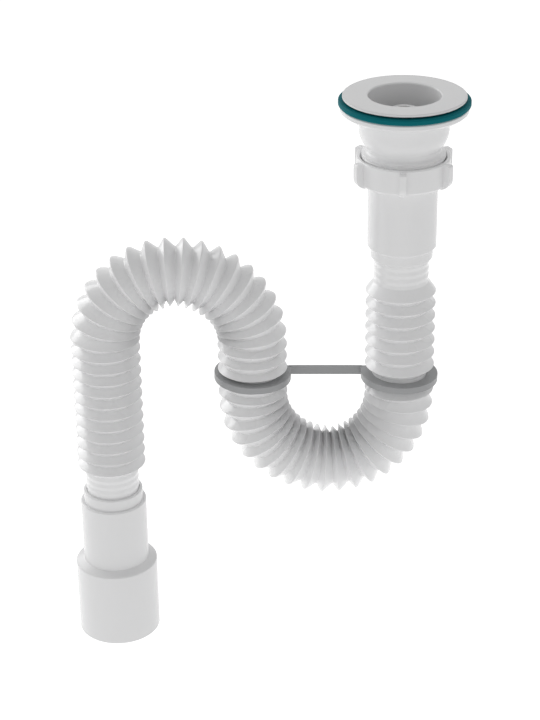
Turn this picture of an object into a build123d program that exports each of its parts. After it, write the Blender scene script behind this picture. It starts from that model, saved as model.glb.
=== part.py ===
import os
from math import cos, radians, sin, sqrt

from build123d import *

os.makedirs("parts", exist_ok=True)

# Driving dimensions, mm. Z = 0 is the gasket's top face, where the basin sits.
# X = 0 is the axis of the basin waste, and the bends lie in the XZ plane.

# Upper flange and its web
top_face = 2.5
disc_r = 35.0
rim_thickness = 1.6
seat_r = 28.5
drain_r = 20.5
drain_lip = 0.9
drain_lower_r = 20.2
sleeve_r = 21.8
sleeve_end = -14.8
web_boss_r = 6.8
web_boss_top = -6.0
web_top = -12.2
web_bottom = -14.8
spokes = 4
spoke_width = 2.5

# Gasket and waste body
gasket_r = 37.3
gasket_bore_r = 24.0
gasket_thickness = 3.1
body_flange_r = 36.3
body_flange_thickness = 4.4
bowl_r = 26.2
bowl_curve_r = 22.0
bowl_curve_z = -13.0
bowl_waist_z = -26.8
bowl_floor_z = -25.6
neck_ledge_r = 19.3
neck_ledge_z = -30.2
body_wall = 2.3
neck_r = 23.9
neck_bore_r = 20.5
neck_shoulder_z = -29.4
neck_end_z = -42.3
insert_boss_r = 7.4
lower_web_r = 24.2
lower_web_bottom = -19.8

# Screw and its captive nut
screw_r = 3.0
screw_head_r = 4.6
screw_head_height = 2.3
screw_length = 21.1
insert_flats = 10.0
insert_height = 5.0

# Union nut and cone washer
nut_r = 26.9
nut_bore_r = 24.2
nut_top = -33.3
nut_height = 14.8
nut_ledge = 2.0
lug_r = 31.1
lug_width = 3.8
lugs = 6
washer_flange_r = 23.4
washer_flange_height = 3.0
washer_nose_height = 3.6

# Stepped cuffs, made for 40 mm and 50 mm tube
tube40_r = 20.0
tube50_r = 25.0
cuff_wall = 1.8
step_r = 18.0
collar_top = -31.5
collar_bottom = -88.4
inlet_step_bottom = -95.2
outlet_step_top = -244.6
outlet_tube_top = -251.8
outlet_shoulder = -292.6
outlet_cone = 2.3
outlet_end = -343.3

# Corrugated pipe
ridge_r = 20.7
valley_r = 15.4
wall_radial = 1.4
tail_r = 16.15
tail_groove_r = 15.8
tail_pitch = 4.3
tail_rings = 4
flare_r = 18.15
flare_length = 12.0
inlet_x = 0.0
middle_x = -87.5
outlet_x = -174.1
first_ridge_z = -116.7
inlet_pitch = 7.96
inlet_ridges = 7
below_groove_z = -180.4
bend_z = -182.8
bend_depth = 45.9
bend_lean = 2.2
bend_first_angle = 6.6
bend_step = 9.84
bend_ridges = 18
middle_low_z = -180.2
middle_above_groove_z = -164.8
middle_pitch = 7.6
clip_gap = 8.1
middle_groove_low = -172.55
middle_groove_high = -167.2
arch_z = -145.6
arch_rise = 43.3
arch_lean = -2.65
arch_first_angle = 4.3
arch_step = 9.7
arch_step_growth = 0.0235
arch_ridges = 18
outlet_first_z = -149.7
outlet_pitch = 7.6
outlet_ridges = 11
groove_r = 16.4

# Share of each fold taken by the flank on the outlet side
share_inlet_leg = 0.52
share_bend = 0.34
share_middle_leg = 0.30
share_arch = 0.40
share_outlet_leg = 0.54

# Spacer clip, one flat moulding that tilts with its two grooves
clip_bore_r = 16.5
clip_r = 22.9
clip_height = 3.9
clip_z_inlet = -172.45
clip_z_middle = -169.75
clip_outer_reach = 38.0
bar_back = 7.7
bar_thickness = 2.0
bar_height = 5.2
bar_drop = 0.4


def turned(profile):
    """Revolve a closed (r, z) outline about the Z axis."""
    with BuildSketch(Plane.XZ) as section:
        with BuildLine():
            Polyline(*profile, close=True)
        make_face()
    revolve(section.sketch, axis=Axis.Z)


def web(outer_r, boss_r, boss_top, boss_bottom, spoke_top, spoke_bottom):
    """Boss and radial spokes that cross a round opening."""
    with BuildSketch(Plane.XY.offset(boss_bottom)) as boss:
        Circle(boss_r)
    extrude(boss.sketch, amount=boss_top - boss_bottom)
    with BuildSketch(Plane.XY.offset(spoke_bottom)) as arms:
        with PolarLocations(outer_r / 2, spokes, start_angle=180 / spokes):
            Rectangle(outer_r, spoke_width)
    extrude(arms.sketch, amount=spoke_top - spoke_bottom)


# Upper flange: thin-edged disc, sleeve down the basin hole, web for the screw
with BuildPart() as upper_flange:
    turned([
        (drain_r, top_face - drain_lip),
        (drain_r + 0.3, top_face - 0.3),
        (drain_r + drain_lip, top_face),
        (disc_r - 0.6, top_face),
        (disc_r, top_face - 0.4),
        (disc_r, top_face - rim_thickness + 0.4),
        (disc_r - 0.4, top_face - rim_thickness),
        (seat_r, 0),
        (sleeve_r, 0),
        (sleeve_r, sleeve_end),
        (drain_lower_r, sleeve_end),
        (drain_lower_r, web_boss_top),
        (drain_r, web_boss_top),
    ])
    web(drain_r + 0.6, web_boss_r, web_boss_top, web_bottom, web_top, web_bottom)
    with Locations((0, 0, web_boss_top)):
        CounterBoreHole(screw_r + 0.3, screw_head_r + 0.4, screw_head_height + 0.3)
upper_flange.part.label = "upper_flange"
export_step(upper_flange.part, "parts/upper_flange.step")

# Flange gasket: flat ring with softened edges
with BuildPart() as flange_gasket:
    turned([
        (gasket_bore_r, -gasket_thickness),
        (gasket_r - 0.6, -gasket_thickness),
        (gasket_r, -gasket_thickness + 0.6),
        (gasket_r, -0.6),
        (gasket_r - 0.6, 0),
        (gasket_bore_r, 0),
    ])
flange_gasket.part.label = "flange_gasket"
export_step(flange_gasket.part, "parts/flange_gasket.step")

# Fixing screw: countersunk in the upper web, threaded into the captive nut
head_seat_z = web_boss_top - screw_head_height - 0.3
with BuildPart() as fixing_screw:
    with BuildSketch(Plane.XY.offset(head_seat_z)):
        Circle(screw_head_r)
    extrude(amount=screw_head_height)
    with BuildSketch(Plane.XY.offset(head_seat_z + screw_head_height)):
        Rectangle(2 * screw_head_r, 1.2)
    extrude(amount=-1.1, mode=Mode.SUBTRACT)
    with BuildSketch(Plane.XY.offset(head_seat_z)):
        Circle(screw_r)
    extrude(amount=-screw_length)
fixing_screw.part.label = "fixing_screw"
export_step(fixing_screw.part, "parts/fixing_screw.step")

# Captive hex nut, pulled up against the ledge of the lower web
insert_bottom = head_seat_z - screw_length + 2.0
with BuildPart() as screw_insert:
    with BuildSketch(Plane.XY.offset(insert_bottom)):
        RegularPolygon(insert_flats / 2, 6, major_radius=False)
        Circle(screw_r + 0.02, mode=Mode.SUBTRACT)
    extrude(amount=insert_height)
screw_insert.part.label = "screw_insert"
export_step(screw_insert.part, "parts/screw_insert.step")


# Point on the bowl's rounded side, at a height and a depth into the wall
def bowl_point(z, depth):
    curve_r = bowl_curve_r - depth
    return (bowl_r - bowl_curve_r + sqrt(curve_r ** 2 - (z - bowl_curve_z) ** 2), z)


# Waste body: flange, bowl narrowing to a waist, neck for the union thread
flange_top = -gasket_thickness
flange_bottom = flange_top - body_flange_thickness
with BuildPart() as waste_body:
    with BuildSketch(Plane.XZ):
        with BuildLine():
            Polyline(
                (sleeve_r + 0.3, flange_top),
                (body_flange_r - 0.9, flange_top),
                (body_flange_r, flange_top - 0.9),
                (body_flange_r, flange_bottom + 1.4),
                (body_flange_r - 1.6, flange_bottom),
                (bowl_r + 1.2, flange_bottom),
                (bowl_r, flange_bottom - 1.2),
                bowl_point(bowl_curve_z, 0),
            )
            ThreePointArc(
                bowl_point(bowl_curve_z, 0),
                bowl_point(-21.0, 0),
                bowl_point(bowl_waist_z, 0),
            )
            Polyline(
                bowl_point(bowl_waist_z, 0),
                (neck_r, neck_shoulder_z),
                (neck_r, neck_shoulder_z - 1.9),
                (neck_r - 0.6, neck_shoulder_z - 2.3),
                (neck_r - 0.6, neck_shoulder_z - 3.2),
                (neck_r, neck_shoulder_z - 3.6),
                (neck_r, neck_end_z + 0.8),
                (neck_r - 0.8, neck_end_z),
                (neck_bore_r + 1.9, neck_end_z),
                (neck_bore_r, neck_end_z + 3.6),
                (neck_bore_r, neck_ledge_z - 0.8),
                (neck_ledge_r, neck_ledge_z),
                bowl_point(bowl_floor_z, body_wall),
            )
            ThreePointArc(
                bowl_point(bowl_floor_z, body_wall),
                bowl_point(-20.0, body_wall),
                bowl_point(bowl_curve_z, body_wall),
            )
            Polyline(
                bowl_point(bowl_curve_z, body_wall),
                (bowl_r - body_wall, flange_bottom),
                (sleeve_r + 0.3, flange_bottom + 1.2),
                (sleeve_r + 0.3, flange_top),
            )
        make_face()
    revolve(axis=Axis.Z)
    lower_web_top = web_bottom - 0.3
    web(lower_web_r, insert_boss_r, lower_web_top, insert_bottom - 0.4, lower_web_top, lower_web_bottom)
    with BuildSketch(Plane.XY.offset(lower_web_top)):
        Circle(screw_r + 0.3)
    extrude(amount=-20, mode=Mode.SUBTRACT)
    with BuildSketch(Plane.XY.offset(insert_bottom + insert_height + 0.02)):
        RegularPolygon(insert_flats / 2 + 0.02, 6, major_radius=False)
    extrude(amount=-20, mode=Mode.SUBTRACT)
waste_body.part.label = "waste_body"
export_step(waste_body.part, "parts/waste_body.step")

# Cone washer: rubber seal between the neck's bevelled mouth and the collar
ledge_z = nut_top - nut_height + nut_ledge
with BuildPart() as cone_washer:
    nose_root = ledge_z + washer_flange_height
    turned([
        (tube40_r + 0.05, ledge_z),
        (washer_flange_r, ledge_z),
        (washer_flange_r, nose_root),
        (neck_bore_r + 1.0, nose_root + 0.5),
        (neck_bore_r - 0.1, nose_root + washer_nose_height - 1.0),
        (tube40_r + 0.05, nose_root + washer_nose_height - 1.0),
    ])
cone_washer.part.label = "cone_washer"
export_step(cone_washer.part, "parts/cone_washer.step")

# Union nut: thin ring with an inward ledge and six rounded lugs
nut_bottom = nut_top - nut_height
with BuildPart() as union_nut:
    with BuildSketch(Plane.XZ):
        with BuildLine():
            Polyline(
                (nut_r - 1.8, nut_bottom),
                (tube40_r + 0.3, nut_bottom),
                (tube40_r + 0.3, ledge_z),
                (nut_bore_r, ledge_z),
                (nut_bore_r, nut_top - 1.0),
                (nut_bore_r + 0.9, nut_top),
                (nut_r - 0.5, nut_top),
                (nut_r, nut_top - 0.5),
                (nut_r, nut_bottom + 1.8),
            )
            RadiusArc((nut_r, nut_bottom + 1.8), (nut_r - 1.8, nut_bottom), 1.8)
        make_face()
    revolve(axis=Axis.Z)
    # One lug outline in the XZ plane, straight above and curving in below
    for turn in range(lugs):
        lug_plane = Plane.XZ.rotated((0, 0, turn * 360 / lugs - 88.5))
        with BuildSketch(lug_plane):
            with BuildLine():
                Polyline(
                    (nut_r - 1.5, nut_bottom + 0.6),
                    (nut_r - 1.5, nut_top - 0.4),
                    (lug_r - 1.4, nut_top - 0.4),
                )
                RadiusArc((lug_r - 1.4, nut_top - 0.4), (lug_r, nut_top - 1.8), 1.4)
                Line((lug_r, nut_top - 1.8), (lug_r, nut_bottom + 6.0))
                Spline(
                    (lug_r, nut_bottom + 6.0),
                    (lug_r - 1.6, nut_bottom + 1.6),
                    (nut_r - 1.5, nut_bottom - 0.6),
                    tangents=[(0, -1), (-1, -0.25)],
                )
                Line((nut_r - 1.5, nut_bottom - 0.6), (nut_r - 1.5, nut_bottom + 0.6))
            make_face()
        extrude(amount=lug_width / 2, both=True)
union_nut.part.label = "union_nut"
export_step(union_nut.part, "parts/union_nut.step")

# Inlet cuff: 40 mm collar that slides up the neck, stepped in over the pipe's end
with BuildPart() as inlet_cuff:
    turned([
        (tube40_r - cuff_wall, collar_top),
        (tube40_r - 0.6, collar_top),
        (tube40_r, collar_top - 0.9),
        (tube40_r, collar_bottom + 0.7),
        (tube40_r - 0.7, collar_bottom),
        (step_r, collar_bottom),
        (step_r, inlet_step_bottom + 0.5),
        (step_r - 0.5, inlet_step_bottom),
        (tail_r + 0.02, inlet_step_bottom),
        (tail_r + 0.02, collar_bottom + 0.6),
        (flare_r + 0.02, collar_bottom + 2.6),
        (flare_r + 0.02, collar_bottom + 2.6 + flare_length),
        (tube40_r - cuff_wall, collar_bottom + 2.8 + flare_length),
    ])
inlet_cuff.part.label = "inlet_cuff"
export_step(inlet_cuff.part, "parts/inlet_cuff.step")

# Outlet cuff: 40 mm tube stepped out to 50 mm over a short cone
with BuildPart() as outlet_cuff:
    cone_bottom = outlet_shoulder - outlet_cone
    with BuildSketch(Plane.XZ):
        with BuildLine():
            Polyline(
                (outlet_x + tail_r + 0.02, outlet_step_top),
                (outlet_x + step_r - 0.5, outlet_step_top),
                (outlet_x + step_r, outlet_step_top - 0.5),
                (outlet_x + step_r, outlet_tube_top),
                (outlet_x + tube40_r - 0.7, outlet_tube_top),
                (outlet_x + tube40_r, outlet_tube_top - 0.7),
                (outlet_x + tube40_r, outlet_shoulder),
                (outlet_x + tube50_r - 0.5, cone_bottom + 0.2),
                (outlet_x + tube50_r, cone_bottom - 0.4),
                (outlet_x + tube50_r, outlet_end + 0.8),
                (outlet_x + tube50_r - 0.8, outlet_end),
                (outlet_x + tube50_r - cuff_wall - 0.2, outlet_end),
                (outlet_x + tube50_r - cuff_wall - 0.2, cone_bottom - 1.6),
                (outlet_x + tube40_r - cuff_wall, outlet_shoulder - 0.6),
                (outlet_x + tube40_r - cuff_wall, outlet_tube_top - 2.8 - flare_length),
                (outlet_x + flare_r + 0.02, outlet_tube_top - 2.6 - flare_length),
                (outlet_x + flare_r + 0.02, outlet_tube_top - 2.6),
                (outlet_x + tail_r + 0.02, outlet_tube_top - 0.6),
                close=True,
            )
        make_face()
    revolve(axis=Axis((outlet_x, 0, 0), (0, 0, 1)))
outlet_cuff.part.label = "outlet_cuff"
export_step(outlet_cuff.part, "parts/outlet_cuff.step")


# Corrugated pipe. Its centre line is walked from inlet to outlet as planes
# whose normals follow the flow, and every plane gets an outer radius.
def leg_plane(x, z, flow):
    """Plane across a straight leg; flow is -1 down or +1 up."""
    return Plane((x, 0, z), x_dir=(0, 1, 0), z_dir=(0, 0, flow))


def curve_plane(angle, start_x, end_x, spring_z, rise, lean):
    """Plane across a bend, at an angle counted from the leg that feeds it."""
    half = (start_x - end_x) / 2
    s = sin(radians(angle))
    c = cos(radians(angle))
    x = (start_x + end_x) / 2 + half * c + lean * s * s
    z = spring_z + rise * s
    along = (-half * s + 2 * lean * s * c, 0, rise * c)
    return Plane((x, 0, z), x_dir=(0, 1, 0), z_dir=along)


def bend_plane(angle):
    return curve_plane(angle, inlet_x, middle_x, bend_z, -bend_depth, bend_lean)


def arch_plane(angle):
    return curve_plane(angle, middle_x, outlet_x, arch_z, arch_rise, arch_lean)


def arch_angle(ridge):
    return arch_first_angle + arch_step * ridge + arch_step_growth * ridge ** 2


def tail(x, start_z, rings):
    """Shallow rings of a tail, from start_z down."""
    found = []
    for ring in range(rings):
        found.append((leg_plane(x, start_z - ring * tail_pitch, -1), tail_groove_r))
        found.append((leg_plane(x, start_z - (ring + 0.5) * tail_pitch, -1), tail_r))
    return found


stations = []

# Flared end inside the inlet cuff, then the tail
flare_top = collar_bottom + 2.6 + flare_length
stations.append((leg_plane(inlet_x, flare_top, -1), flare_r))
stations.append((leg_plane(inlet_x, collar_bottom + 2.6, -1), flare_r))
stations.append((leg_plane(inlet_x, collar_bottom + 0.6, -1), tail_r))
stations.append((leg_plane(inlet_x, inlet_step_bottom + 1.0, -1), tail_r))
stations += tail(inlet_x, inlet_step_bottom - 0.1, tail_rings)

# Inlet leg, down to the ridge above the clip's groove
for ridge in range(inlet_ridges):
    z = first_ridge_z - ridge * inlet_pitch
    stations.append((leg_plane(inlet_x, z, -1), ridge_r))
    if ridge < inlet_ridges - 1:
        stations.append((leg_plane(inlet_x, z - share_inlet_leg * inlet_pitch, -1), valley_r))
groove_top = z - share_inlet_leg * inlet_pitch
groove_bottom = below_groove_z + (1 - share_inlet_leg) * inlet_pitch
stations.append((leg_plane(inlet_x, groove_top, -1), groove_r))
stations.append((leg_plane(inlet_x, groove_bottom, -1), groove_r))
stations.append((leg_plane(inlet_x, below_groove_z, -1), ridge_r))
first_drop = bend_depth * sin(radians(bend_first_angle)) + below_groove_z - bend_z
stations.append((leg_plane(inlet_x, below_groove_z - 0.45 * first_drop, -1), valley_r))

# Lower bend
for ridge in range(bend_ridges):
    angle = bend_first_angle + ridge * bend_step
    stations.append((bend_plane(angle), ridge_r))
    if ridge < bend_ridges - 1:
        stations.append((bend_plane(angle + share_bend * bend_step), valley_r))
stations.append((bend_plane(angle + share_bend * bend_step), valley_r))

# Middle leg, up past the clip's second groove
middle_below_groove_z = middle_above_groove_z - clip_gap
stations.append((leg_plane(middle_x, middle_low_z, 1), ridge_r))
stations.append((leg_plane(middle_x, middle_low_z + share_middle_leg * middle_pitch, 1), valley_r))
stations.append((leg_plane(middle_x, middle_below_groove_z, 1), ridge_r))
stations.append((leg_plane(middle_x, middle_groove_low, 1), groove_r))
stations.append((leg_plane(middle_x, middle_groove_high, 1), groove_r))
for ridge in range(3):
    z = middle_above_groove_z + ridge * middle_pitch
    stations.append((leg_plane(middle_x, z, 1), ridge_r))
    stations.append((leg_plane(middle_x, z + share_middle_leg * middle_pitch, 1), valley_r))

# Arch
for ridge in range(arch_ridges):
    angle = arch_angle(ridge)
    step = arch_angle(ridge + 1) - angle
    stations.append((arch_plane(angle), ridge_r))
    if ridge < arch_ridges - 1:
        stations.append((arch_plane(angle + share_arch * step), valley_r))
stations.append((leg_plane(outlet_x, outlet_first_z + 3.6, -1), valley_r))

# Outlet leg and its tail, flared inside the outlet cuff
for ridge in range(outlet_ridges):
    z = outlet_first_z - ridge * outlet_pitch
    stations.append((leg_plane(outlet_x, z, -1), ridge_r))
    stations.append((leg_plane(outlet_x, z - share_outlet_leg * outlet_pitch, -1), valley_r))
tail_start = z - share_outlet_leg * outlet_pitch - 0.3
stations += tail(outlet_x, tail_start, 3)[1:]
stations.append((leg_plane(outlet_x, outlet_step_top + 0.4, -1), tail_groove_r))
stations.append((leg_plane(outlet_x, outlet_step_top - 1.0, -1), tail_r))
stations.append((leg_plane(outlet_x, outlet_tube_top - 0.6, -1), tail_r))
stations.append((leg_plane(outlet_x, outlet_tube_top - 2.6, -1), flare_r))
stations.append((leg_plane(outlet_x, outlet_tube_top - 2.6 - flare_length, -1), flare_r))

with BuildPart() as corrugated_pipe:
    for plane, radius in stations:
        with BuildSketch(plane):
            Circle(radius)
    loft(ruled=True)
    for plane, radius in stations:
        with BuildSketch(plane):
            Circle(radius - wall_radial)
    loft(ruled=True, mode=Mode.SUBTRACT)
corrugated_pipe.part.label = "corrugated_pipe"
export_step(corrugated_pipe.part, "parts/corrugated_pipe.step")

# Spacer clip: two rings open at the back, joined by a bar that rounds into them
clip_span = inlet_x - middle_x
clip_rise = clip_z_middle - clip_z_inlet
clip_reach = (clip_span ** 2 + clip_rise ** 2) ** 0.5
clip_plane = Plane(
    (inlet_x, 0, clip_z_inlet),
    x_dir=(clip_span, 0, -clip_rise),
    z_dir=(clip_rise, 0, clip_span),
)
with BuildPart() as spacer_clip:
    with BuildSketch(clip_plane.offset(-clip_height / 2)) as outline:
        for x, side in ((0, 1), (-clip_reach, -1)):
            with Locations((x, 0)):
                Circle(clip_r)
                Circle(clip_bore_r, mode=Mode.SUBTRACT)
            reach = 1.2 * clip_r
            tip_x = reach * cos(radians(clip_outer_reach))
            tip_y = reach * sin(radians(clip_outer_reach))
            with BuildLine():
                Polyline(
                    (x, 0),
                    (x + side * tip_x, tip_y),
                    (x + side * tip_x, reach),
                    (x - side * reach, reach),
                    (x - side * reach, bar_back),
                    (x, bar_back),
                    close=True,
                )
            make_face(mode=Mode.SUBTRACT)
        with Locations((-clip_reach / 2, bar_back - bar_thickness / 2)):
            Rectangle(clip_reach - 2 * clip_r + 6, bar_thickness)
        bar_corners = outline.vertices().filter_by_position(Axis.Y, bar_back - 0.01, bar_back + 0.01)
        fillet(bar_corners, 2.5)
        bar_roots = outline.vertices().filter_by_position(
            Axis.Y, bar_back - bar_thickness - 0.01, bar_back - bar_thickness + 0.01
        )
        fillet(bar_roots, 2.5)
    extrude(amount=clip_height)
    with BuildSketch(clip_plane.offset(-bar_height / 2 - bar_drop)):
        with Locations((-clip_reach / 2, bar_back - bar_thickness / 2)):
            Rectangle(clip_reach - 2 * clip_r + 2, bar_thickness)
    extrude(amount=bar_height)
spacer_clip.part.label = "spacer_clip"
export_step(spacer_clip.part, "parts/spacer_clip.step")
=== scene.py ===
import math

import bmesh
import bpy
from mathutils import Matrix, Vector


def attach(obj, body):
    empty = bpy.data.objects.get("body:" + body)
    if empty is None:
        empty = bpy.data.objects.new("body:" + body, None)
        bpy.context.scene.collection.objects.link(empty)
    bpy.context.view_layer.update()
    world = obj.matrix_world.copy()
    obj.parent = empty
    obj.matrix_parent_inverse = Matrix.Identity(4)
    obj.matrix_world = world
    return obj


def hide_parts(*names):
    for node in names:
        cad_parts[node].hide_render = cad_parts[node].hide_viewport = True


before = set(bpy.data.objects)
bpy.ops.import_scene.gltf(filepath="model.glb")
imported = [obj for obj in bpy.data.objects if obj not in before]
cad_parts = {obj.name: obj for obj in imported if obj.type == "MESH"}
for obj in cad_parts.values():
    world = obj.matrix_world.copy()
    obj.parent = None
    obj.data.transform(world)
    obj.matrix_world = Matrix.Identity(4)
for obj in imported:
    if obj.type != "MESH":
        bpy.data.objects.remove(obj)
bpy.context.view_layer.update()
# Sizes below are the object's own, in millimetres, and turn to metres where they meet Blender
MM = 0.001


# Small helpers

def linear(hex_colour):
    """An sRGB hex colour as linear RGBA."""
    parts = [int(hex_colour[i:i + 2], 16) / 255 for i in (1, 3, 5)]
    return [c / 12.92 if c <= 0.04045 else ((c + 0.055) / 1.055) ** 2.4 for c in parts] + [1.0]


def add(tree, kind, inputs=None, **settings):
    """A node with its settings, and its inputs set to values or linked to sockets."""
    made = tree.nodes.new(kind)
    for name, value in settings.items():
        setattr(made, name, value)
    for name, value in (inputs or {}).items():
        if isinstance(value, bpy.types.NodeSocket):
            tree.links.new(value, made.inputs[name])
        else:
            made.inputs[name].default_value = value
    return made


def empty_tree(holder):
    """The node tree of a new material or world, with no nodes in it."""
    holder.use_nodes = True
    holder.node_tree.nodes.clear()
    return holder.node_tree


def placed(name, data):
    """An object in the scene that holds this mesh, curve, lamp or camera."""
    made = bpy.data.objects.new(name, data)
    bpy.context.scene.collection.objects.link(made)
    return made


def shade_smooth(mesh):
    for face in mesh.polygons:
        face.use_smooth = True


# Materials

def moulded(name, light, dark, roughness, ior, cloud_mm, grain_mm, grain_depth_mm, **shader_values):
    """A moulded surface: cloudy colour, a shine that varies, and a fine skin on Object coordinates."""
    material = bpy.data.materials.new(name)
    tree = empty_tree(material)
    place = add(tree, "ShaderNodeTexCoord").outputs["Object"]
    cloud = add(tree, "ShaderNodeTexNoise", {"Vector": place, "Scale": 1 / (cloud_mm * MM), "Detail": 3.0})
    grain = add(tree, "ShaderNodeTexNoise", {"Vector": place, "Scale": 1 / (grain_mm * MM), "Detail": 2.0})
    colour = add(tree, "ShaderNodeMix", {
        "Factor": cloud.outputs["Fac"], "A": linear(light), "B": linear(dark)}, data_type="RGBA")
    shine = add(tree, "ShaderNodeMapRange", {
        "Value": cloud.outputs["Fac"], "From Min": 0.3, "From Max": 0.7,
        "To Min": roughness[0], "To Max": roughness[1]})
    skin = add(tree, "ShaderNodeBump", {
        "Height": grain.outputs["Fac"], "Strength": 1.0, "Distance": grain_depth_mm * MM})
    shader = add(tree, "ShaderNodeBsdfPrincipled", {
        "Base Color": colour.outputs["Result"], "Roughness": shine.outputs["Result"],
        "Normal": skin.outputs["Normal"], "IOR": ior, **shader_values})
    add(tree, "ShaderNodeOutputMaterial", {"Surface": shader.outputs["BSDF"]})
    return material


def turned_metal(name, light, dark, roughness, mark_mm):
    """A turned metal: rings round the Z axis, each 2 pi marks wide, break up the shine."""
    radians_at_scale_1 = 20
    scale = 1 / (mark_mm * MM) / radians_at_scale_1
    material = bpy.data.materials.new(name)
    tree = empty_tree(material)
    place = add(tree, "ShaderNodeTexCoord").outputs["Object"]
    marks = add(tree, "ShaderNodeTexWave", {
        "Vector": place, "Scale": scale, "Distortion": 0.6, "Detail": 2.0},
        wave_type="RINGS", rings_direction="Z")
    colour = add(tree, "ShaderNodeMix", {
        "Factor": marks.outputs["Fac"], "A": linear(light), "B": linear(dark)}, data_type="RGBA")
    shine = add(tree, "ShaderNodeMapRange", {
        "Value": marks.outputs["Fac"], "To Min": roughness[0], "To Max": roughness[1]})
    shader = add(tree, "ShaderNodeBsdfPrincipled", {
        "Base Color": colour.outputs["Result"], "Roughness": shine.outputs["Result"], "Metallic": 1.0})
    add(tree, "ShaderNodeOutputMaterial", {"Surface": shader.outputs["BSDF"]})
    return material


# Polypropylene, injection moulded in a polished tool: bright, clean and glossy
white_polypropylene = moulded(
    "injection_moulded_polypropylene", "#EFEFEF", "#EDEDEE", roughness=(0.24, 0.27), ior=1.49,
    cloud_mm=40, grain_mm=3.0, grain_depth_mm=0.001)
# Polypropylene, extruded and corrugated between mould blocks: a chilled, shiny skin that waves slightly
corrugated_polypropylene = moulded(
    "corrugated_polypropylene", "#F1F1F1", "#EFEFF0", roughness=(0.26, 0.31), ior=1.49,
    cloud_mm=36, grain_mm=5.0, grain_depth_mm=0.003, **{"Coat Weight": 0.5, "Coat Roughness": 0.12})
# Polypropylene coloured mid grey, thin and quickly moulded: satin, with faint flow clouds
grey_polypropylene = moulded(
    "grey_moulded_polypropylene", "#A3A4A5", "#9FA0A1", roughness=(0.38, 0.44), ior=1.49,
    cloud_mm=18, grain_mm=1.5, grain_depth_mm=0.002)
# Styrene rubber, pressed and dyed teal: dull, with a fine dusty skin that hardly reflects
teal_rubber = moulded(
    "pressed_teal_rubber", "#006D75", "#00656D", roughness=(0.55, 0.62), ior=1.52,
    cloud_mm=12, grain_mm=1.0, grain_depth_mm=0.006, **{"Specular IOR Level": 0.08})
# Nitrile rubber, pressed: black and dull
black_rubber = moulded(
    "pressed_black_rubber", "#222324", "#1A1B1C", roughness=(0.50, 0.65), ior=1.52,
    cloud_mm=12, grain_mm=1.0, grain_depth_mm=0.010)
# Stainless steel, cold headed and thread rolled: grey with faint turning rings
stainless_steel = turned_metal(
    "cold_headed_stainless_steel", "#C9C8C5", "#B5B4B1", roughness=(0.22, 0.38), mark_mm=0.4)
# Brass, cut from drawn hexagonal bar: warm, with faint cutting rings
drawn_brass = turned_metal(
    "drawn_brass", "#D9B76A", "#C6A255", roughness=(0.24, 0.40), mark_mm=0.4)

finishes = {
    "upper_flange": white_polypropylene,
    "flange_gasket": teal_rubber,
    "fixing_screw": stainless_steel,
    "screw_insert": drawn_brass,
    "waste_body": white_polypropylene,
    "cone_washer": black_rubber,
    "union_nut": white_polypropylene,
    "inlet_cuff": white_polypropylene,
    "corrugated_pipe": corrugated_polypropylene,
    "spacer_clip": grey_polypropylene,
    "outlet_cuff": white_polypropylene,
}
for name, material in finishes.items():
    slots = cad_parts[name].data.materials
    slots.clear()
    slots.append(material)


# Corrugated pipe

# The radii of its rings, then its tails, legs and bends along the flow, as the solid has them. A fold
# is a ridge and the valley behind it, and its share is how far along the fold that valley lies.
RIDGE_R, VALLEY_R, GROOVE_R = 20.7, 15.4, 16.4
TAIL_R, TAIL_GROOVE_R, FLARE_R = 16.15, 15.8, 18.15
WALL_RADIAL = 1.4
INLET_X, MIDDLE_X, OUTLET_X = 0.0, -87.5, -174.1
DOWN, UP = -1, 1

INLET_FLARE = ((-73.8, FLARE_R), (-85.8, FLARE_R), (-87.8, TAIL_R), (-94.2, TAIL_R))
TAIL_GROOVES, TAIL_FIRST_Z, TAIL_PITCH = 4, -95.3, 4.3
INLET_FOLDS, INLET_FIRST_Z, INLET_PITCH, INLET_SHARE = 7, -116.7, 7.96, 0.52
BELOW_CLIP_Z, BEND_VALLEY_Z = -180.4, -183.68

BEND_Z, BEND_DEPTH, BEND_LEAN = -182.8, 45.9, 2.2
BEND_FOLDS, BEND_FIRST_ANGLE, BEND_STEP, BEND_SHARE = 18, 6.6, 9.84, 0.34

MIDDLE_LOW_Z, BELOW_GROOVE_Z, GROOVE_LOW_Z, GROOVE_HIGH_Z = -180.2, -172.9, -172.55, -167.2
MIDDLE_FOLDS, MIDDLE_FIRST_Z, MIDDLE_PITCH, MIDDLE_SHARE = 3, -164.8, 7.6, 0.30

ARCH_Z, ARCH_RISE, ARCH_LEAN = -145.6, 43.3, -2.65
ARCH_FOLDS, ARCH_FIRST_ANGLE, ARCH_STEP, ARCH_STEP_GROWTH, ARCH_SHARE = 18, 4.3, 9.7, 0.0235, 0.40

OUTLET_VALLEY_Z = -146.1
OUTLET_FOLDS, OUTLET_FIRST_Z, OUTLET_PITCH, OUTLET_SHARE = 11, -149.7, 7.6, 0.54
OUTLET_TAIL = (
    (-232.2, TAIL_R), (-234.4, TAIL_GROOVE_R), (-236.5, TAIL_R), (-238.7, TAIL_GROOVE_R), (-240.8, TAIL_R),
    (-244.2, TAIL_GROOVE_R), (-245.6, TAIL_R), (-252.4, TAIL_R), (-254.4, FLARE_R), (-266.4, FLARE_R))


def on_leg(x, flow, heights_and_radii):
    """Rings on a straight leg, each as (centre, direction, radius)."""
    return [(Vector((x, 0, z)), Vector((0, 0, flow)), r) for z, r in heights_and_radii]


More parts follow.
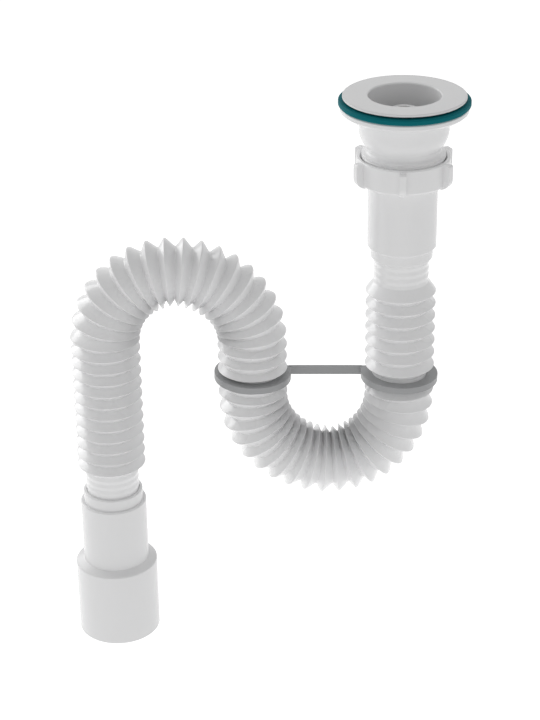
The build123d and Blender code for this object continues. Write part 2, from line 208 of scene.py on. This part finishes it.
def on_bend(start_x, end_x, spring_z, rise, lean, angles_and_radii):
    """Rings on a half-elliptical bend that leans a little, by their angle from the leg that feeds it."""
    rings = []
    half = (start_x - end_x) / 2
    for angle, r in angles_and_radii:
        s, c = math.sin(math.radians(angle)), math.cos(math.radians(angle))
        centre = Vector(((start_x + end_x) / 2 + half * c + lean * s * s, 0, spring_z + rise * s))
        rings.append((centre, Vector((-half * s + 2 * lean * s * c, 0, rise * c)).normalized(), r))
    return rings


def folds(count, first, step, share):
    """Ridges a step apart, each with the valley behind it, as (height or angle, radius)."""
    places = []
    for fold in range(count):
        places.append((first + fold * step, RIDGE_R))
        places.append((first + (fold + share) * step, VALLEY_R))
    return places


def arch_angle(fold):
    return ARCH_FIRST_ANGLE + ARCH_STEP * fold + ARCH_STEP_GROWTH * fold ** 2


def pipe_rings():
    """Each ridge, valley and tail ring along the flow."""
    inlet = list(INLET_FLARE)
    for groove in range(TAIL_GROOVES):
        inlet.append((TAIL_FIRST_Z - groove * TAIL_PITCH, TAIL_GROOVE_R))
        inlet.append((TAIL_FIRST_Z - (groove + 0.5) * TAIL_PITCH, TAIL_R))
    inlet += folds(INLET_FOLDS, INLET_FIRST_Z, -INLET_PITCH, INLET_SHARE)
    groove_top_z = inlet.pop()[0]
    groove_end_z = BELOW_CLIP_Z + (1 - INLET_SHARE) * INLET_PITCH
    inlet += [(groove_top_z, GROOVE_R), (groove_end_z, GROOVE_R)]
    inlet += [(BELOW_CLIP_Z, RIDGE_R), (BEND_VALLEY_Z, VALLEY_R)]

    bend = folds(BEND_FOLDS, BEND_FIRST_ANGLE, BEND_STEP, BEND_SHARE)

    middle = folds(1, MIDDLE_LOW_Z, MIDDLE_PITCH, MIDDLE_SHARE)
    middle += [(BELOW_GROOVE_Z, RIDGE_R), (GROOVE_LOW_Z, GROOVE_R), (GROOVE_HIGH_Z, GROOVE_R)]
    middle += folds(MIDDLE_FOLDS, MIDDLE_FIRST_Z, MIDDLE_PITCH, MIDDLE_SHARE)

    arch = []
    for fold in range(ARCH_FOLDS):
        angle, following = arch_angle(fold), arch_angle(fold + 1)
        arch += [(angle, RIDGE_R), (angle + ARCH_SHARE * (following - angle), VALLEY_R)]
    arch.pop()

    outlet = [(OUTLET_VALLEY_Z, VALLEY_R)]
    outlet += folds(OUTLET_FOLDS, OUTLET_FIRST_Z, -OUTLET_PITCH, OUTLET_SHARE)
    outlet += OUTLET_TAIL

    return (on_leg(INLET_X, DOWN, inlet)
            + on_bend(INLET_X, MIDDLE_X, BEND_Z, -BEND_DEPTH, BEND_LEAN, bend)
            + on_leg(MIDDLE_X, UP, middle)
            + on_bend(MIDDLE_X, OUTLET_X, ARCH_Z, ARCH_RISE, ARCH_LEAN, arch)
            + on_leg(OUTLET_X, DOWN, outlet))


def wall_line(rings, shares, inset):
    """Points at shares of the way between the rings, and their radii, with each fold's edge rounded."""
    points, radii = [], []
    for (start, leaving, start_r), (end, arriving, end_r) in zip(rings, rings[1:]):
        gap = (end - start).length
        for t in shares:
            by_start, by_end = 2 * t**3 - 3 * t**2 + 1, 3 * t**2 - 2 * t**3
            by_leaving, by_arriving = (t**3 - 2 * t**2 + t) * gap, (t**3 - t**2) * gap
            points.append(by_start * start + by_leaving * leaving + by_end * end + by_arriving * arriving)
            radii.append(start_r + (end_r - start_r) * t - inset)
    points.append(rings[-1][0])
    radii.append(rings[-1][2] - inset)
    rounded = list(radii)
    if len(shares) > 1:
        for i in range(len(shares), len(radii) - 1, len(shares)):
            rounded[i] = (radii[i - 1] + 4 * radii[i] + radii[i + 1]) / 6
    return points, rounded


def pipe_tree(material):
    """Geometry Nodes: a round wall swept along the centre line, with each point's radius."""
    tree = bpy.data.node_groups.new("swept pipe wall", "GeometryNodeTree")
    tree.interface.new_socket("Geometry", in_out="INPUT", socket_type="NodeSocketGeometry")
    sides = tree.interface.new_socket("Sides", in_out="INPUT", socket_type="NodeSocketInt")
    tree.interface.new_socket("Geometry", in_out="OUTPUT", socket_type="NodeSocketGeometry")
    given = add(tree, "NodeGroupInput")
    round_profile = add(tree, "GeometryNodeCurvePrimitiveCircle", {
        "Resolution": given.outputs["Sides"], "Radius": 1.0})
    radius = add(tree, "GeometryNodeInputRadius")
    wall = add(tree, "GeometryNodeCurveToMesh", {
        "Curve": given.outputs["Geometry"], "Profile Curve": round_profile.outputs["Curve"],
        "Scale": radius.outputs["Radius"]})
    smooth = add(tree, "GeometryNodeSetShadeSmooth", {"Geometry": wall.outputs["Mesh"]})
    real = add(tree, "GeometryNodeRealizeInstances", {"Geometry": smooth.outputs["Geometry"]})
    painted = add(tree, "GeometryNodeSetMaterial", {
        "Geometry": real.outputs["Geometry"], "Material": material})
    add(tree, "NodeGroupOutput", {"Geometry": painted.outputs["Geometry"]})
    return tree, sides.identifier


swept_wall, sides_input = pipe_tree(corrugated_polypropylene)


def swept(shares, inset, sides):
    """One skin of the pipe's wall as a mesh."""
    points, radii = wall_line(pipe_rings(), shares, inset)
    line = bpy.data.curves.new("pipe_centre_line", "CURVE")
    line.dimensions = "3D"
    spline = line.splines.new("POLY")
    spline.points.add(len(points) - 1)
    for point, centre, radius in zip(spline.points, points, radii):
        point.co = (*(centre * MM), 1)
        point.radius = radius * MM
    path = placed("pipe_centre_line", line)
    sweep = path.modifiers.new("swept_pipe_wall", "NODES")
    sweep.node_group = swept_wall
    sweep[sides_input] = sides
    skin = bpy.data.meshes.new_from_object(path.evaluated_get(bpy.context.evaluated_depsgraph_get()))
    bpy.data.objects.remove(path)
    return skin


def bellows_pipe():
    """Both skins of the pipe, closed to each other at its two ends."""
    sides = 72
    # On a flank the points lie close together at its ends, where the fold's edge is rounded
    outer_shares, inner_shares = (0, 0.05, 0.12, 0.88, 0.95), (0,)
    wall = swept(outer_shares, 0, sides)
    shape = bmesh.new()
    shape.from_mesh(wall)
    shape.from_mesh(swept(inner_shares, WALL_RADIAL, sides))
    rims = [edge for edge in shape.edges if edge.is_boundary]
    inlet_end = [edge for edge in rims if edge.verts[0].co.x > MIDDLE_X * MM]
    outlet_end = [edge for edge in rims if edge.verts[0].co.x < MIDDLE_X * MM]
    bmesh.ops.bridge_loops(shape, edges=inlet_end)
    bmesh.ops.bridge_loops(shape, edges=outlet_end)
    bmesh.ops.recalc_face_normals(shape, faces=shape.faces)
    shape.to_mesh(wall)
    shape.free()
    wall.name = "bellows_pipe"
    shade_smooth(wall)
    pipe = placed("bellows_pipe", wall)
    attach(pipe, "trap")
    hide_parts("corrugated_pipe")


bellows_pipe()


# Moulded pieces, brought to the photo's shapes and with their edges rounded

NUT_TURN = math.radians(-7.6)
# The step in the bore and the screw's boss, each on the solid and as shown
STEP_R, BORE_R = 20.2, 20.5
BOSS_R, SHOWN_BOSS_R = 6.8, 7.7

# The bowl and the neck on the solid
BOWL_R, BOWL_CURVE_R, CURVE_TOP_Z, WAIST_Z = 26.2, 22.0, -13.0, -26.8
NECK_R, SHOULDER_Z, NECK_END_Z = 23.9, -29.4, -42.3

# The bowl and the neck as shown: the upright part runs into an arc, and the arc into a hollow that
# turns back out to a lower shoulder
UPRIGHT_R = 25.6
ARC_R, ARC_CENTRE_R, ARC_CENTRE_Z, ARC_TURN = 16.0, 9.6, -16.8, math.radians(42)
HOLLOW_R, HOLLOW_TURN, HOLLOW_ROWS = 2.0, math.radians(104), 7
SHOWN_SHOULDER_R, SHOWN_SHOULDER_Z = 23.6, -31.1
THREAD_ROOT_R, ABOVE_THREAD_Z, THREAD_ROOT_Z = 22.7, -34.3, -35.0
END_CHAMFER = 0.6

# The thread: the pitch of G 1 1/2, with the ridge's half widths at its root and its crest
THREAD_PITCH, THREAD_TURNS, THREAD_FIRST_Z = 2.309, 2.2, -36.0
ROOT_HALF, CREST_HALF = 0.95, 0.35
SUNK_ROOT_R, THREAD_CREST_R = THREAD_ROOT_R - 0.1, NECK_R - 0.05
STEPS_PER_TURN, FADE_STEPS = 72, 12

# A corner of the solid belongs to a named radius or height when it is this near to it, and to the
# bowl's outside when it is no deeper than this
NEAR, OUTSIDE_DEPTH = 0.02, 1.0


def radius_of(corner):
    """A corner's distance from the waste's axis."""
    return math.hypot(corner.co.x, corner.co.y) / MM


def at_radius(corner, new_r):
    """Move a corner in or out to a radius about the waste's axis."""
    change = new_r / radius_of(corner)
    corner.co.x *= change
    corner.co.y *= change


def turned_to_photo(shape):
    """The nut as the photo has it, with a lug towards the camera."""
    bmesh.ops.rotate(shape, verts=shape.verts, cent=(0, 0, 0), matrix=Matrix.Rotation(NUT_TURN, 3, "Z"))


def straight_bore(shape):
    """The drain bore without the fine step in it, and a boss as wide as the photo's."""
    for corner in shape.verts:
        r = radius_of(corner)
        if abs(r - STEP_R) < NEAR:
            at_radius(corner, BORE_R)
        elif abs(r - BOSS_R) < NEAR:
            at_radius(corner, SHOWN_BOSS_R)


def solid_bowl_r(z):
    """The solid's outer radius at a height on its bowl, and below that the waist's."""
    drop = max(z, WAIST_Z) - CURVE_TOP_Z
    return BOWL_R - BOWL_CURVE_R + math.sqrt(BOWL_CURVE_R ** 2 - drop ** 2)


def shown_bowl(z):
    """Radius and height of the shown outside, for a height on the outside of the solid."""
    if z > WAIST_Z - NEAR:
        turn = ARC_TURN * (CURVE_TOP_Z - z) / (CURVE_TOP_Z - WAIST_Z)
        return ARC_CENTRE_R + ARC_R * math.cos(turn), ARC_CENTRE_Z - ARC_R * math.sin(turn)
    centre_r = ARC_CENTRE_R + (ARC_R + HOLLOW_R) * math.cos(ARC_TURN)
    centre_z = ARC_CENTRE_Z - (ARC_R + HOLLOW_R) * math.sin(ARC_TURN)
    share = (WAIST_Z - z) / (WAIST_Z - SHOULDER_Z) * HOLLOW_ROWS / (HOLLOW_ROWS - 1)
    turn = ARC_TURN - HOLLOW_TURN * share
    return centre_r - HOLLOW_R * math.cos(turn), centre_z + HOLLOW_R * math.sin(turn)


def fuller_bowl(shape):
    """The bowl's outside as round as in the photo, and the neck turned down to the root of its thread."""
    row = (WAIST_Z - SHOULDER_Z) / HOLLOW_ROWS
    cuts = [WAIST_Z - row * i for i in range(1, HOLLOW_ROWS)] + [ABOVE_THREAD_Z, THREAD_ROOT_Z]
    for z in cuts:
        bmesh.ops.bisect_plane(
            shape, geom=shape.verts[:] + shape.edges[:] + shape.faces[:],
            plane_co=(0, 0, z * MM), plane_no=(0, 0, 1), dist=0.001 * MM)
    for corner in shape.verts:
        r = radius_of(corner)
        z = corner.co.z / MM
        if abs(r - BOWL_R) < NEAR and z > CURVE_TOP_Z:
            at_radius(corner, UPRIGHT_R)
        elif SHOULDER_Z + NEAR < z <= CURVE_TOP_Z and r > solid_bowl_r(z) - OUTSIDE_DEPTH:
            shown_r, shown_z = shown_bowl(z)
            at_radius(corner, shown_r)
            corner.co.z = shown_z * MM
        elif abs(r - NECK_R) < NEAR and abs(z - SHOULDER_Z) < NEAR:
            at_radius(corner, SHOWN_SHOULDER_R)
            corner.co.z = SHOWN_SHOULDER_Z * MM
        elif r > THREAD_ROOT_R and z < THREAD_ROOT_Z + NEAR:
            at_end = z < NECK_END_Z + NEAR
            at_radius(corner, THREAD_ROOT_R - END_CHAMFER if at_end else THREAD_ROOT_R)


def neck_thread():
    """The thread on the neck: a ridge wound right-handed, fading in and out."""
    ridge = (
        (SUNK_ROOT_R, -ROOT_HALF), (THREAD_CREST_R, -CREST_HALF),
        (THREAD_CREST_R, CREST_HALF), (SUNK_ROOT_R, ROOT_HALF))
    sides = len(ridge)
    last = int(THREAD_TURNS * STEPS_PER_TURN)
    corners, faces = [], []
    for step in range(last + 1):
        angle = -2 * math.pi * step / STEPS_PER_TURN
        rise = min(1, step / FADE_STEPS, (last - step) / FADE_STEPS)
        for ridge_r, ridge_z in ridge:
            r = SUNK_ROOT_R + (ridge_r - SUNK_ROOT_R) * rise
            z = THREAD_FIRST_Z - THREAD_PITCH * step / STEPS_PER_TURN + ridge_z * rise
            corners.append((r * math.cos(angle) * MM, r * math.sin(angle) * MM, z * MM))
    for step in range(last):
        near, far = sides * step, sides * (step + 1)
        for i in range(sides):
            following = (i + 1) % sides
            faces.append((near + i, near + following, far + following, far + i))
    mesh = bpy.data.meshes.new("neck_thread")
    mesh.from_pydata(corners, [], faces)
    shape = bmesh.new()
    shape.from_mesh(mesh)
    bmesh.ops.remove_doubles(shape, verts=shape.verts, dist=0.001 * MM)
    bmesh.ops.recalc_face_normals(shape, faces=shape.faces)
    shape.to_mesh(mesh)
    shape.free()
    mesh.set_sharp_from_angle(angle=math.radians(35))
    mesh.materials.append(white_polypropylene)
    piece = placed("neck_thread", mesh)
    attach(piece, "waste")


def softened(node, body, width_mm, shown_as, reshape=None):
    """A copy of a rigid CAD node with its moulded edges rounded, which stands for that node."""
    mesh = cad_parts[node].data.copy()
    mesh.name = shown_as
    shape = bmesh.new()
    shape.from_mesh(mesh)
    if reshape:
        reshape(shape)
    bmesh.ops.remove_doubles(shape, verts=shape.verts, dist=0.002 * MM)
    bmesh.ops.dissolve_limit(
        shape, angle_limit=math.radians(0.5), verts=shape.verts, edges=shape.edges, delimit={"NORMAL"})
    shape.to_mesh(mesh)
    shape.free()
    shade_smooth(mesh)
    piece = placed(shown_as, mesh)
    edge = piece.modifiers.new("rounded edges", "BEVEL")
    edge.width = width_mm * MM
    edge.segments = 3
    edge.limit_method = "ANGLE"
    edge.angle_limit = math.radians(38)
    edge.use_clamp_overlap = True
    even = piece.modifiers.new("even faces", "WEIGHTED_NORMAL")
    even.weight = 100
    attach(piece, body)
    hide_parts(node)


neck_thread()
softened("waste_body", "waste", 0.35, "waste_body_moulding", fuller_bowl)
softened("upper_flange", "waste", 0.5, "upper_flange_moulding", straight_bore)
softened("union_nut", "nut", 0.35, "union_nut_moulding", turned_to_photo)
softened("spacer_clip", "trap", 0.6, "spacer_clip_moulding")


# Stage, light and camera, in metres

FLOOR_Z, FLOOR_LEFT, FLOOR_RIGHT, FLOOR_FRONT, FLOOR_BACK = -0.62, -4, 4, -3, 5
# Strengths of what lights the object, and of what the camera and a reflection see as white
FLOOR_GLOW, FLOOR_SEEN = 0.40, 0.66
ROOM_GLOW, ROOM_SEEN = 0.47, 1.0


def seen_itself(tree):
    """1 where the camera or a reflection sees the background, and 0 where it lights the object."""
    ray = add(tree, "ShaderNodeLightPath")
    either = add(tree, "ShaderNodeMath", {
        0: ray.outputs["Is Camera Ray"], 1: ray.outputs["Is Glossy Ray"]}, operation="MAXIMUM")
    return either.outputs["Value"]


floor_mesh = bpy.data.meshes.new("floor")
floor_mesh.from_pydata(
    [(FLOOR_LEFT, FLOOR_FRONT, FLOOR_Z), (FLOOR_RIGHT, FLOOR_FRONT, FLOOR_Z),
     (FLOOR_RIGHT, FLOOR_BACK, FLOOR_Z), (FLOOR_LEFT, FLOOR_BACK, FLOOR_Z)], [], [(0, 1, 2, 3)])
floor = placed("floor", floor_mesh)
# Matt backdrop paper: faint fibres, and lit until it is as white as the photo's background
paper = bpy.data.materials.new("white_paper_floor")
tree = empty_tree(paper)
place = add(tree, "ShaderNodeTexCoord").outputs["Object"]
fibre = add(tree, "ShaderNodeTexNoise", {"Vector": place, "Scale": 40.0, "Detail": 3.0})
tone = add(tree, "ShaderNodeMix", {
    "Factor": fibre.outputs["Fac"], "A": linear("#F4F4F4"), "B": linear("#F0F0F0")}, data_type="RGBA")
matt = add(tree, "ShaderNodeBsdfDiffuse", {"Color": tone.outputs["Result"]})
glow = add(tree, "ShaderNodeMapRange", {
    "Value": seen_itself(tree), "To Min": FLOOR_GLOW, "To Max": FLOOR_SEEN})
lift = add(tree, "ShaderNodeEmission", {"Color": (1, 1, 1, 1), "Strength": glow.outputs["Result"]})
both = add(tree, "ShaderNodeAddShader", {0: matt.outputs["BSDF"], 1: lift.outputs["Emission"]})
add(tree, "ShaderNodeOutputMaterial", {"Surface": both.outputs["Shader"]})
floor_mesh.materials.append(paper)

world = bpy.data.worlds.new("studio")
bpy.context.scene.world = world
tree = empty_tree(world)
room = add(tree, "ShaderNodeBackground", {"Color": (1, 1, 1, 1), "Strength": ROOM_GLOW})
white = add(tree, "ShaderNodeBackground", {"Color": (1, 1, 1, 1), "Strength": ROOM_SEEN})
mix = add(tree, "ShaderNodeMixShader", {
    "Fac": seen_itself(tree), 1: room.outputs["Background"], 2: white.outputs["Background"]})
add(tree, "ShaderNodeOutputWorld", {"Surface": mix.outputs["Shader"]})

OBJECT_MIDDLE = Vector((-0.087, 0.0, -0.17))


def softbox(name, place, width, height, power):
    """A rectangular studio lamp that faces the middle of the object."""
    lamp = bpy.data.lights.new(name, "AREA")
    lamp.shape = "RECTANGLE"
    lamp.size = width
    lamp.size_y = height
    lamp.energy = power
    holder = placed(name, lamp)
    holder.location = place
    holder.rotation_euler = (OBJECT_MIDDLE - Vector(place)).to_track_quat("-Z", "Y").to_euler()


softbox("left_softbox", (-1.5, -0.35, -0.15), width=0.9, height=1.4, power=1.2)
softbox("left_back_softbox", (-1.20, 1.00, 0.50), width=1.1, height=1.1, power=8.5)
softbox("right_softbox", (1.35, -0.45, -0.15), width=0.9, height=1.4, power=0.7)
softbox("front_softbox", (-0.15, -1.2, -0.40), width=1.6, height=0.7, power=1.0)

# The camera that was fitted to the photo: its place, and how far it looks down, right and tilted
CAMERA_PLACE = Vector((-0.110858, -1.034985, 0.356490))
PITCH, YAW, ROLL = 0.46327, 0.03262, -0.012728
ahead = Vector((math.sin(YAW) * math.cos(PITCH), math.cos(YAW) * math.cos(PITCH), -math.sin(PITCH)))
level = Vector((math.cos(YAW), -math.sin(YAW), 0))
above = level.cross(ahead)
right = level * math.cos(ROLL) + above * math.sin(ROLL)
up = above * math.cos(ROLL) - level * math.sin(ROLL)
facing = Matrix((right, up, -ahead)).transposed().to_4x4()
camera_data = bpy.data.cameras.new("camera")
camera_data.lens = 97.45
camera_data.sensor_width = 36
camera_data.clip_end = 20
camera = placed("camera", camera_data)
camera.matrix_world = Matrix.Translation(CAMERA_PLACE) @ facing
bpy.context.scene.camera = camera

bpy.context.scene.view_settings.view_transform = "Standard"
